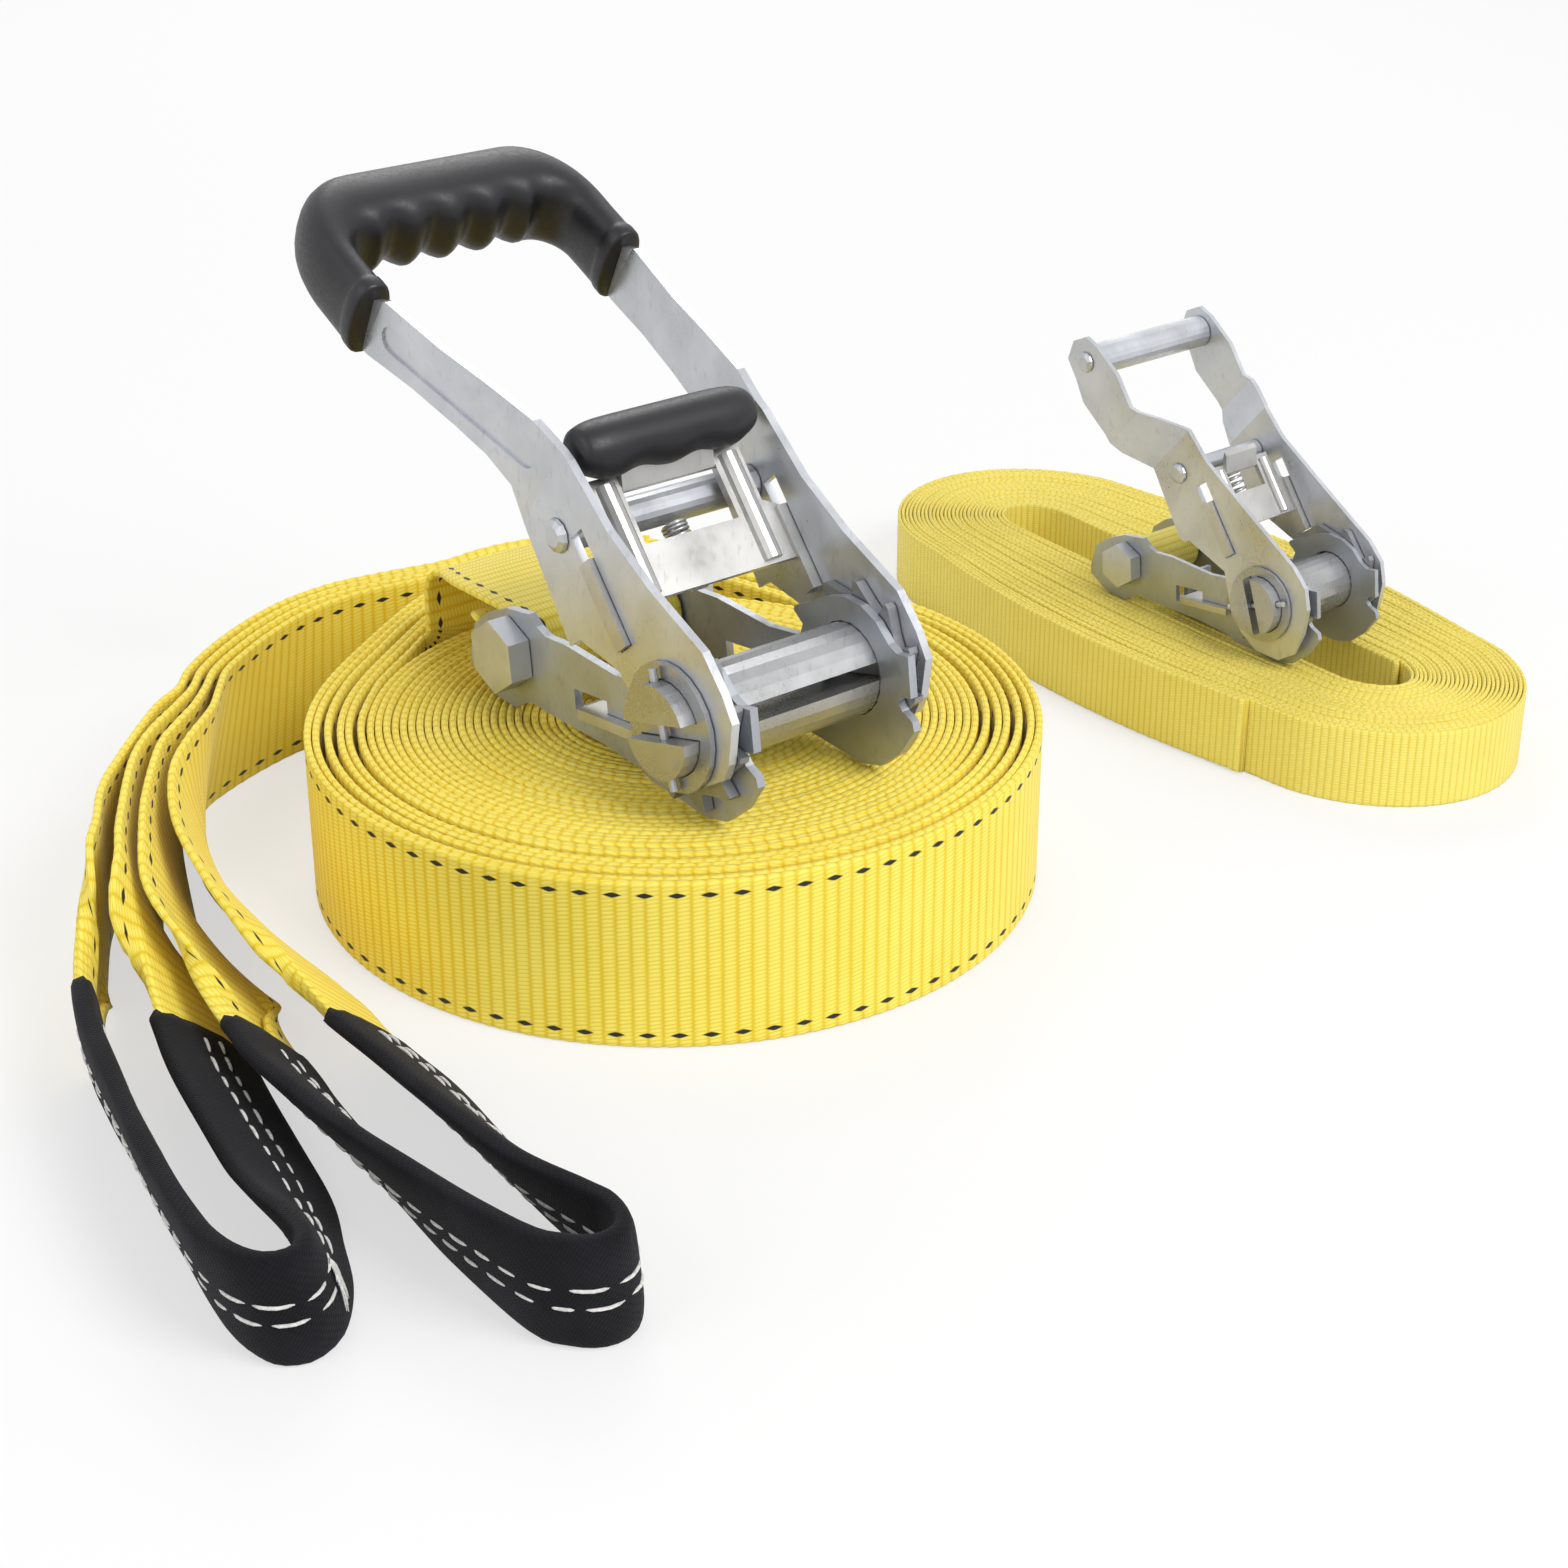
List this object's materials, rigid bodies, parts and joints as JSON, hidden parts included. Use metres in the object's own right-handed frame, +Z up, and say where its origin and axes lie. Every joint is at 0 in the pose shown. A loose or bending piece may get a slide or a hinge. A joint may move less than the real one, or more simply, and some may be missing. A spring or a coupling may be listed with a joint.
{
  "type": "slackline",
  "caption": "Wound slackline webbing with sewn eye ends, a long-lever webbing ratchet resting on it, and a narrow teaching line with a small ratchet.",
  "frame": {"origin": "on the floor, in the middle of the whole set's outline seen from above", "axes": "+Z up, the set is pictured from -Y with +X to the right"},
  "size_m": [0.4262, 0.5098, 0.1895],
  "materials": {
    "main_anchor_bolt": "bright zinc plated",
    "main_anchor_nut": "bright zinc plated",
    "main_anchor_sleeve": "bright zinc plated",
    "main_base_frame": "bright zinc plated",
    "main_drive_pawl": "zinc plated",
    "main_drive_spring": "zinc plated",
    "main_end_disc_far": "bright zinc plated",
    "main_end_disc_near": "bright zinc plated",
    "main_finger_pull": "satin",
    "main_grip_rod": "zinc plated",
    "main_half_shaft_lower": "bright zinc plated",
    "main_half_shaft_upper": "bright zinc plated",
    "main_handle_arm_far": "bright zinc plated",
    "main_handle_arm_near": "bright zinc plated",
    "main_handle_grip": "satin",
    "main_handle_rivet": "bright zinc plated",
    "main_handle_spacer": "bright zinc plated",
    "main_line_coil": "woven polyester",
    "main_line_end": "woven polyester",
    "main_line_sleeve": "woven twill",
    "main_lock_pawl": "zinc plated",
    "main_lock_spring": "zinc plated",
    "main_ratchet_wheel_far": "zinc plated",
    "main_ratchet_wheel_near": "zinc plated",
    "main_shaft_pin_far": "bright zinc plated",
    "main_shaft_pin_near": "bright zinc plated",
    "ratchet_strap": "woven polyester",
    "ratchet_strap_sleeve": "woven twill",
    "small_anchor_bolt": "bright zinc plated",
    "small_anchor_nut": "bright zinc plated",
    "small_anchor_sleeve": "bright zinc plated",
    "small_base_frame": "bright zinc plated",
    "small_drive_pawl": "zinc plated",
    "small_drive_spring": "zinc plated",
    "small_end_disc_far": "bright zinc plated",
    "small_end_disc_near": "bright zinc plated",
    "small_grip_rivet": "bright zinc plated",
    "small_grip_tube": "bright zinc plated",
    "small_half_shaft_lower": "bright zinc plated",
    "small_half_shaft_upper": "bright zinc plated",
    "small_handle_arm_far": "bright zinc plated",
    "small_handle_arm_near": "bright zinc plated",
    "small_handle_rivet": "bright zinc plated",
    "small_handle_spacer": "bright zinc plated",
    "small_lock_pawl": "zinc plated",
    "small_lock_spring": "zinc plated",
    "small_ratchet_wheel_far": "zinc plated",
    "small_ratchet_wheel_near": "zinc plated",
    "small_shaft_pin_far": "bright zinc plated",
    "small_shaft_pin_near": "bright zinc plated",
    "teaching_line_coil": "woven polyester",
    "teaching_strap": "woven polyester"
  },
  "bodies": {
    "webbing_and_frames": {"main_line_coil": "main_line_coil", "main_line_end": "main_line_end", "ratchet_strap": "ratchet_strap", "teaching_line_coil": "teaching_line_coil", "teaching_strap": "teaching_strap", "main_line_sleeve": "main_line_sleeve", "ratchet_strap_sleeve": "ratchet_strap_sleeve", "main_base_frame": "main_base_frame", "main_anchor_bolt": "main_anchor_bolt", "main_anchor_nut": "main_anchor_nut", "main_anchor_sleeve": "main_anchor_sleeve", "main_lock_spring": "main_lock_spring", "small_base_frame": "small_base_frame", "small_anchor_bolt": "small_anchor_bolt", "small_anchor_nut": "small_anchor_nut", "small_anchor_sleeve": "small_anchor_sleeve", "small_lock_spring": "small_lock_spring"},
    "main_spool": {"main_half_shaft_upper": "main_half_shaft_upper", "main_half_shaft_lower": "main_half_shaft_lower", "main_ratchet_wheel_near": "main_ratchet_wheel_near", "main_ratchet_wheel_far": "main_ratchet_wheel_far", "main_end_disc_near": "main_end_disc_near", "main_end_disc_far": "main_end_disc_far", "main_shaft_pin_near": "main_shaft_pin_near", "main_shaft_pin_far": "main_shaft_pin_far"},
    "main_handle": {"main_handle_arm_near": "main_handle_arm_near", "main_handle_arm_far": "main_handle_arm_far", "main_handle_spacer": "main_handle_spacer", "main_handle_rivet": "main_handle_rivet", "main_drive_spring": "main_drive_spring", "main_handle_grip": "main_handle_grip", "main_grip_rod": "main_grip_rod"},
    "main_drive": {"main_drive_pawl": "main_drive_pawl", "main_finger_pull": "main_finger_pull"},
    "main_lock": {"main_lock_pawl": "main_lock_pawl"},
    "small_spool": {"small_half_shaft_upper": "small_half_shaft_upper", "small_half_shaft_lower": "small_half_shaft_lower", "small_ratchet_wheel_near": "small_ratchet_wheel_near", "small_ratchet_wheel_far": "small_ratchet_wheel_far", "small_end_disc_near": "small_end_disc_near", "small_end_disc_far": "small_end_disc_far", "small_shaft_pin_near": "small_shaft_pin_near", "small_shaft_pin_far": "small_shaft_pin_far"},
    "small_handle": {"small_handle_arm_near": "small_handle_arm_near", "small_handle_arm_far": "small_handle_arm_far", "small_handle_spacer": "small_handle_spacer", "small_handle_rivet": "small_handle_rivet", "small_drive_spring": "small_drive_spring", "small_grip_tube": "small_grip_tube", "small_grip_rivet": "small_grip_rivet"},
    "small_drive": {"small_drive_pawl": "small_drive_pawl"},
    "small_lock": {"small_lock_pawl": "small_lock_pawl"}
  },
  "joints": [
    {"name": "main_handle_hinge", "type": "hinge", "parent": "webbing_and_frames", "child": "main_handle", "pos_m": [-0.02321, -0.06161, 0.07696], "axis": [0.7771, 0.6293, 0], "range_deg": [-28, 136]},
    {"name": "main_spool_hinge", "type": "hinge", "parent": "webbing_and_frames", "child": "main_spool", "pos_m": [-0.02321, -0.06161, 0.07696], "axis": [0.7771, 0.6293, 0], "continuous": true},
    {"name": "main_drive_slide", "type": "slide", "parent": "main_handle", "child": "main_drive", "axis": [-0.4028, 0.4975, 0.7683], "range_m": [0, 0.008], "stiffness_N_per_m": 800, "springref_m": -0.004, "deforming": ["main_drive_spring"]},
    {"name": "main_lock_slide", "type": "slide", "parent": "webbing_and_frames", "child": "main_lock", "axis": [-0.6257, 0.7726, -0.1075], "range_m": [0, 0.005], "stiffness_N_per_m": 800, "springref_m": -0.003, "deforming": ["main_lock_spring"]},
    {"name": "small_handle_hinge", "type": "hinge", "parent": "webbing_and_frames", "child": "small_handle", "pos_m": [0.14499, 0.08779, 0.04521], "axis": [0.7727, 0.6347, 0], "range_deg": [-28, 133]},
    {"name": "small_spool_hinge", "type": "hinge", "parent": "webbing_and_frames", "child": "small_spool", "pos_m": [0.14499, 0.08779, 0.04521], "axis": [0.7727, 0.6347, 0], "continuous": true},
    {"name": "small_drive_slide", "type": "slide", "parent": "small_handle", "child": "small_drive", "axis": [-0.3784, 0.4607, 0.8028], "range_m": [0, 0.006], "stiffness_N_per_m": 400, "springref_m": -0.004, "deforming": ["small_drive_spring"]},
    {"name": "small_lock_slide", "type": "slide", "parent": "webbing_and_frames", "child": "small_lock", "axis": [-0.6311, 0.7683, -0.1075], "range_m": [0, 0.0035], "stiffness_N_per_m": 400, "springref_m": -0.003, "deforming": ["small_lock_spring"]}
  ]
}
